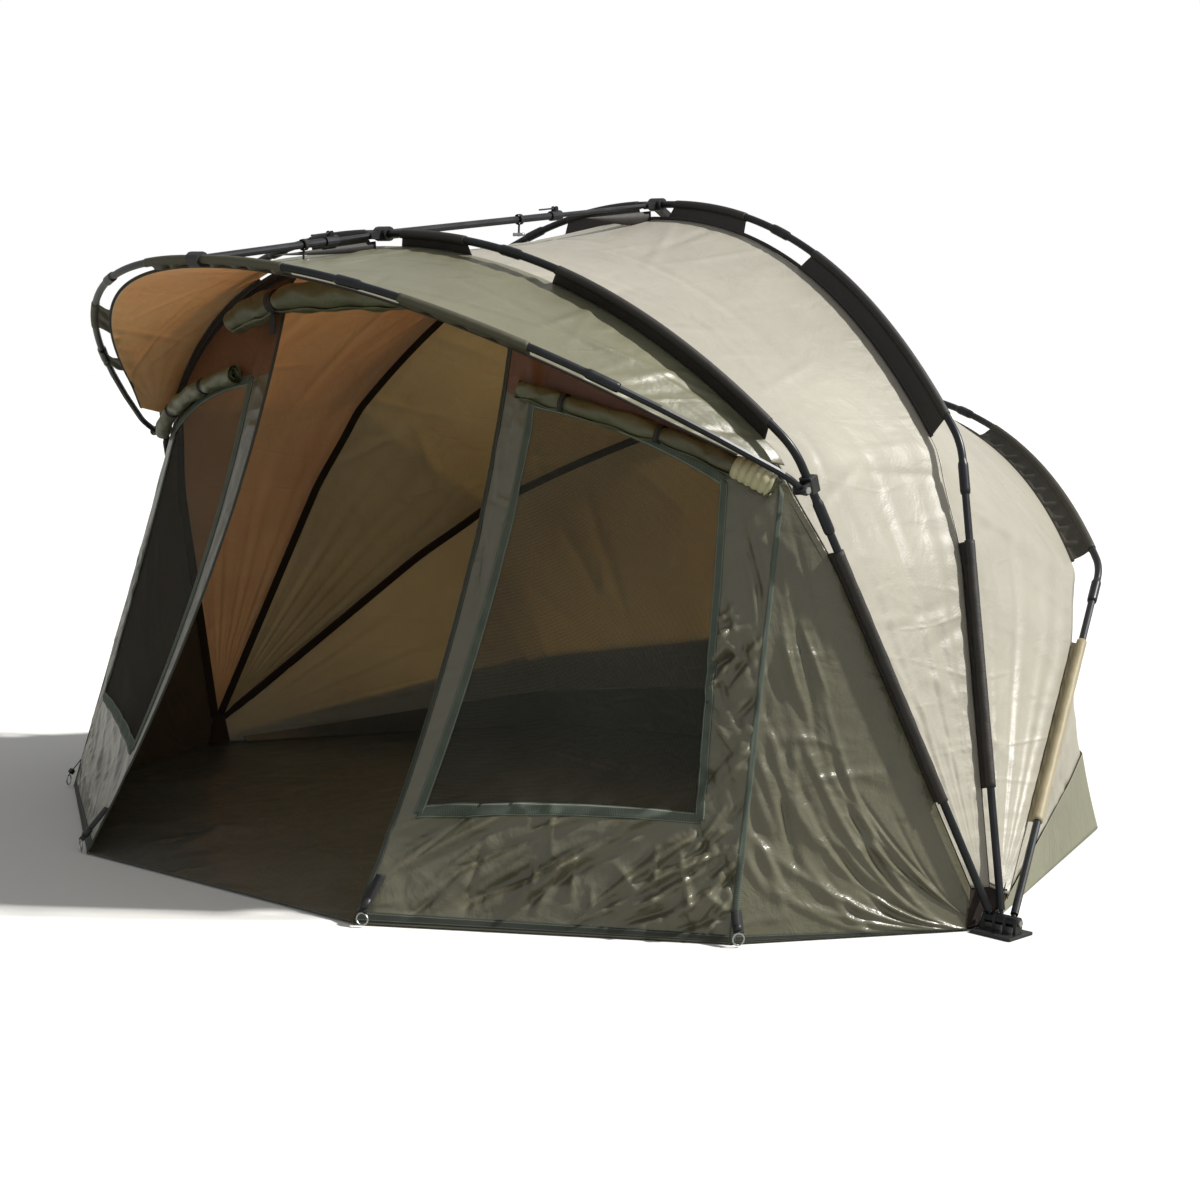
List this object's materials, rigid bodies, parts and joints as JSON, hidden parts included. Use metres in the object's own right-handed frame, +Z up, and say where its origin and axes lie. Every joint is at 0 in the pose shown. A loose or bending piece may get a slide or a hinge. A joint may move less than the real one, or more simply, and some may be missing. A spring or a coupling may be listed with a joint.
{
  "type": "bivvy tent",
  "caption": "Dome fishing bivvy on folding ribs with hub blocks, sprung-out hood, telescopic ridge bars, mesh windows, rolled-up door and groundsheet.",
  "frame": {"origin": "on the ground, midway between the two hub blocks", "axes": "+X from the left hub to the right hub as seen from inside, front faces -Y, +Z up"},
  "size_m": [3.1604, 2.7278, 1.7597],
  "materials": {
    "pole": "satin navy-black powder coat on tube",
    "moulding": "moulded black nylon, fine texture",
    "steel": "zinc-plated steel wire and bolts",
    "canopy": "coated olive-khaki polyester, soft sheen",
    "hood": "coated olive polyester, soft sheen",
    "wall": "coated dark olive polyester, soft sheen",
    "web": "near-black brown woven polyester",
    "net": "fine dark insect mesh, see-through",
    "roll": "rolled olive polyester",
    "groundsheet": "heavy coated dark olive sheet"
  },
  "bodies": {
    "ground": {"groundsheet": "groundsheet", "rear_panel": "canopy", "hub_block_R": "moulding", "hub_block_L": "moulding", "hub_bolt_R": "steel", "hub_bolt_L": "steel"},
    "rear_rib": {"rear_leg_R": "pole", "rear_leg_L": "pole", "rear_sleeve_R": "web", "rear_sleeve_L": "web", "rear_arch": "pole", "rear_web": "web", "rear_connector": "moulding"},
    "mid_rib": {"mid_leg_R": "pole", "mid_leg_L": "pole", "mid_sleeve_R": "web", "mid_sleeve_L": "web", "mid_arch": "pole", "mid_web": "web", "mid_connector": "moulding", "canopy_rear": "canopy"},
    "front_rib": {"front_leg_R": "pole", "front_leg_L": "pole", "front_sleeve_R": "web", "front_sleeve_L": "web", "front_arch": "pole", "front_web": "web", "front_connector": "moulding", "canopy_front": "canopy", "knuckle_R": "moulding", "knuckle_L": "moulding", "knuckle_bolt_R": "steel", "knuckle_bolt_L": "steel", "front_wall_R": "wall", "front_wall_L": "wall", "window_net_R": "net", "window_net_L": "net", "window_roll_R": "roll", "window_roll_L": "roll", "door_roll": "roll"},
    "hood_rib": {"hood_arm_R": "pole", "hood_arm_L": "pole", "hood_arch": "pole", "hood_web": "roll", "hood_cloth": "hood", "hood_connector": "moulding"},
    "hood_bar_swing": {"hood_bar_inner_tube": "pole"},
    "hood_bar_slide": {"hood_bar_outer_tube": "pole"},
    "hood_bar_lever_turn": {"hood_bar_lever": "moulding"},
    "front_bar_swing": {"front_bar_inner_tube": "pole"},
    "front_bar_slide": {"front_bar_outer_tube": "pole"},
    "front_bar_lever_turn": {"front_bar_lever": "moulding"},
    "rear_bar_swing": {"rear_bar_inner_tube": "pole"},
    "rear_bar_slide": {"rear_bar_outer_tube": "pole"},
    "rear_bar_lever_turn": {"rear_bar_lever": "moulding"},
    "corner_ring_R_swing": {"corner_ring_R": "steel"},
    "door_ring_R_swing": {"door_ring_R": "steel"},
    "corner_ring_L_swing": {"corner_ring_L": "steel"},
    "door_ring_L_swing": {"door_ring_L": "steel"}
  },
  "joints": [
    {"name": "rear_fold", "type": "hinge", "parent": "ground", "child": "rear_rib", "pos_m": [0, 0, 0.035], "axis": [-1, 0, 0], "range_deg": [0, 33], "deforming": ["rear_panel"]},
    {"name": "mid_fold", "type": "hinge", "parent": "rear_rib", "child": "mid_rib", "pos_m": [0, 0, 0.035], "axis": [-1, 0, 0], "range_deg": [0, 31], "deforming": ["canopy_rear"]},
    {"name": "front_fold", "type": "hinge", "parent": "mid_rib", "child": "front_rib", "pos_m": [0, 0, 0.035], "axis": [-1, 0, 0], "range_deg": [0, 30], "deforming": ["canopy_front"]},
    {"name": "hood_fold", "type": "hinge", "parent": "front_rib", "child": "hood_rib", "pos_m": [0, -0.43662, 1.03533], "axis": [-1, 0, 0], "range_deg": [0, 31], "deforming": ["hood_cloth"]},
    {"name": "hood_bar_swing", "type": "hinge", "parent": "front_rib", "child": "hood_bar_swing", "pos_m": [0, -0.67071, 1.59366], "axis": [-1, 0, 0], "range_deg": [0, 81]},
    {"name": "hood_bar_slide", "type": "slide", "parent": "hood_bar_swing", "child": "hood_bar_slide", "axis": [0, 0.9876, 0.157], "range_m": [0, 0.06]},
    {"name": "hood_bar_lever_turn", "type": "hinge", "parent": "hood_bar_slide", "child": "hood_bar_lever_turn", "pos_m": [0, -0.80611, 1.59188], "axis": [-1, 0, 0], "range_deg": [0, 110]},
    {"name": "front_bar_swing", "type": "hinge", "parent": "mid_rib", "child": "front_bar_swing", "pos_m": [0, 0.36487, 1.73558], "axis": [-1, 0, 0], "range_deg": [0, 111]},
    {"name": "front_bar_slide", "type": "slide", "parent": "front_bar_swing", "child": "front_bar_slide", "axis": [0, 0.9909, 0.1349], "range_m": [0, 0.2]},
    {"name": "front_bar_lever_turn", "type": "hinge", "parent": "front_bar_slide", "child": "front_bar_lever_turn", "pos_m": [0, -0.0133, 1.70378], "axis": [-1, 0, 0], "range_deg": [0, 110]},
    {"name": "rear_bar_swing", "type": "hinge", "parent": "rear_rib", "child": "rear_bar_swing", "pos_m": [0, 1.37904, 1.24267], "axis": [-1, 0, 0], "range_deg": [0, 114]},
    {"name": "rear_bar_slide", "type": "slide", "parent": "rear_bar_swing", "child": "rear_bar_slide", "axis": [0, 0.8899, -0.4562], "range_m": [0, 0.2]},
    {"name": "rear_bar_lever_turn", "type": "hinge", "parent": "rear_bar_slide", "child": "rear_bar_lever_turn", "pos_m": [0, 1.05067, 1.43292], "axis": [-1, 0, 0], "range_deg": [0, 110]},
    {"name": "corner_ring_R_swing", "type": "hinge", "parent": "front_rib", "child": "corner_ring_R_swing", "pos_m": [1.19823, -0.57694, 0.034], "axis": [0.4338, 0.901, 0], "range_deg": [-80, 15]},
    {"name": "door_ring_R_swing", "type": "hinge", "parent": "front_rib", "child": "door_ring_R_swing", "pos_m": [0.52581, -1.11374, 0.034], "axis": [0.9043, 0.4269, 0], "range_deg": [-80, 15]},
    {"name": "corner_ring_L_swing", "type": "hinge", "parent": "front_rib", "child": "corner_ring_L_swing", "pos_m": [-1.19683, -0.7442, 0.034], "axis": [0.5281, -0.8492, 0], "range_deg": [-80, 15]},
    {"name": "door_ring_L_swing", "type": "hinge", "parent": "front_rib", "child": "door_ring_L_swing", "pos_m": [-0.47581, -1.1917, 0.034], "axis": [0.9287, -0.3708, 0], "range_deg": [-80, 15]}
  ],
  "couplings": [
    {"joint": "hood_bar_swing", "follows": "hood_fold", "ratio": 2.6},
    {"joint": "front_bar_swing", "follows": "front_fold", "ratio": 3.7},
    {"joint": "rear_bar_swing", "follows": "mid_fold", "ratio": 3.65}
  ]
}
